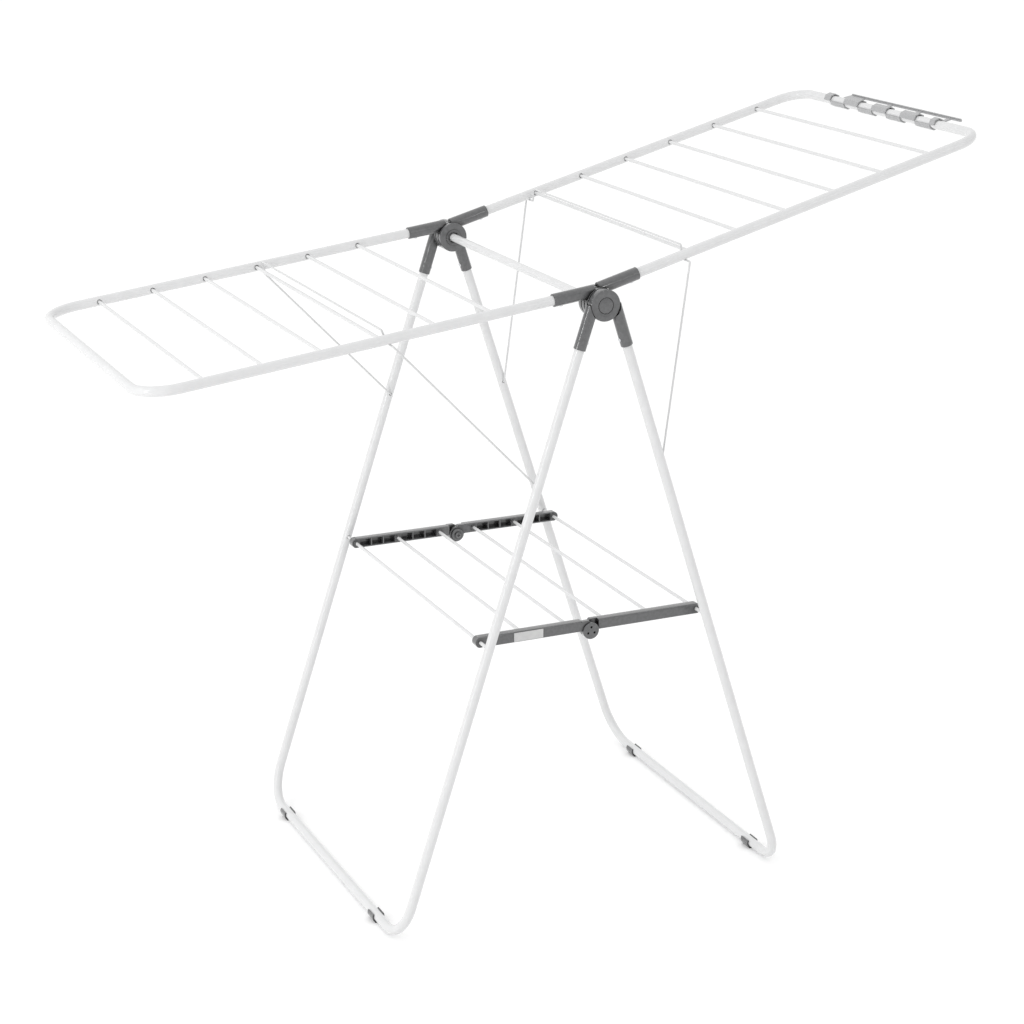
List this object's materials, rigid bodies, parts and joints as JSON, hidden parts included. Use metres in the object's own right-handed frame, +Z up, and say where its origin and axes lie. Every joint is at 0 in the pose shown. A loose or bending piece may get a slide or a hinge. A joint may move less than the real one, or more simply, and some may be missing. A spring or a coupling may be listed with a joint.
{
  "type": "folding clothes drying rack",
  "caption": "Folding clothes airer: crossed-leg frame on a hub, a rodded wing each side held by wire stays, a low folding shelf and a clip-on hanger strip.",
  "frame": {"origin": "on the floor, under the middle of the whole rack as it stands open", "axes": "+Z up, +X along the wings towards the wing with the hanger strip, +Y along the hub axis away from the side seen in front"},
  "size_m": [1.4222, 0.6168, 1.1936],
  "materials": {
    "white_steel": "white powder-coated steel tube and rod, satin",
    "white_wire": "thin white coated steel wire",
    "dark_plastic": "dark grey moulded plastic, fine satin grain",
    "grey_plastic": "mid grey moulded plastic, satin",
    "zinc_steel": "zinc plated steel rivets and pins",
    "label_film": "blank printed film label, matt"
  },
  "bodies": {
    "left_leg": {"left_leg_frame": "white_steel", "near_left_leg_hub": "dark_plastic", "far_left_leg_hub": "dark_plastic", "near_left_leg_rivet": "zinc_steel", "far_left_leg_rivet": "zinc_steel", "near_left_foot": "dark_plastic", "far_left_foot": "dark_plastic", "axle_tube": "white_steel", "near_hub_cap": "dark_plastic", "far_hub_cap": "dark_plastic"},
    "right_leg": {"right_leg_frame": "white_steel", "near_right_leg_hub": "dark_plastic", "far_right_leg_hub": "dark_plastic", "near_right_leg_rivet": "zinc_steel", "far_right_leg_rivet": "zinc_steel", "near_right_foot": "dark_plastic", "far_right_foot": "dark_plastic"},
    "left_wing": {"left_wing_frame": "white_steel", "left_wing_rod_1": "white_steel", "left_wing_rod_2": "white_steel", "left_wing_rod_3": "white_steel", "left_wing_rod_4": "white_steel", "left_wing_rod_5": "white_steel", "left_wing_rod_6": "white_steel", "near_left_wing_hub": "dark_plastic", "far_left_wing_hub": "dark_plastic", "near_left_wing_rivet": "zinc_steel", "far_left_wing_rivet": "zinc_steel"},
    "right_wing": {"right_wing_frame": "white_steel", "right_wing_rod_1": "white_steel", "right_wing_rod_2": "white_steel", "right_wing_rod_3": "white_steel", "right_wing_rod_4": "white_steel", "right_wing_rod_5": "white_steel", "right_wing_rod_6": "white_steel", "near_right_wing_hub": "dark_plastic", "far_right_wing_hub": "dark_plastic", "near_right_wing_rivet": "zinc_steel", "far_right_wing_rivet": "zinc_steel", "hanger_strip": "grey_plastic"},
    "left_stay": {"left_stay": "white_wire"},
    "right_stay": {"right_stay": "white_wire"},
    "left_shelf": {"near_left_shelf_bar": "dark_plastic", "far_left_shelf_bar": "dark_plastic", "shelf_rod_1": "white_steel", "shelf_rod_2": "white_steel", "shelf_rod_3": "white_steel", "shelf_label": "label_film", "near_knuckle_pin": "zinc_steel", "far_knuckle_pin": "zinc_steel"},
    "right_shelf": {"near_right_shelf_bar": "dark_plastic", "far_right_shelf_bar": "dark_plastic", "shelf_rod_4": "white_steel", "shelf_rod_5": "white_steel", "shelf_rod_6": "white_steel"}
  },
  "joints": [
    {"name": "legs_fold", "type": "hinge", "parent": "left_leg", "child": "right_leg", "pos_m": [-0.0068, 0, 0.978], "axis": [0, 1, 0], "range_deg": [0, 34.4]},
    {"name": "left_wing_fold", "type": "hinge", "parent": "left_leg", "child": "left_wing", "pos_m": [-0.0068, 0, 0.978], "axis": [0, -1, 0], "range_deg": [0, 61.7]},
    {"name": "right_wing_fold", "type": "hinge", "parent": "right_leg", "child": "right_wing", "pos_m": [-0.0068, 0, 0.978], "axis": [0, 1, 0], "range_deg": [0, 84.3]},
    {"name": "left_stay_swing", "type": "hinge", "parent": "left_leg", "child": "left_stay", "pos_m": [-0.1122, 0, 0.71156], "axis": [0, -1, 0], "range_deg": [0, 116.4]},
    {"name": "right_stay_swing", "type": "hinge", "parent": "right_leg", "child": "right_stay", "pos_m": [0.09859, 0, 0.71156], "axis": [0, 1, 0], "range_deg": [0, 152.7]},
    {"name": "shelf_left_fold", "type": "hinge", "parent": "left_leg", "child": "left_shelf", "pos_m": [-0.19236, 0, 0.4663], "axis": [0, -1, 0], "range_deg": [0, 67.5]},
    {"name": "shelf_right_fold", "type": "hinge", "parent": "left_shelf", "child": "right_shelf", "pos_m": [-0.0068, 0, 0.4583], "axis": [0, 1, 0], "range_deg": [0, 169.4]}
  ],
  "couplings": [
    {"joint": "left_stay_swing", "follows": "left_wing_fold", "ratio": 1.8813},
    {"joint": "right_stay_swing", "follows": "right_wing_fold", "ratio": 1.8078},
    {"joint": "shelf_left_fold", "follows": "legs_fold", "ratio": 1.9546},
    {"joint": "shelf_right_fold", "follows": "legs_fold", "ratio": 4.9093}
  ]
}
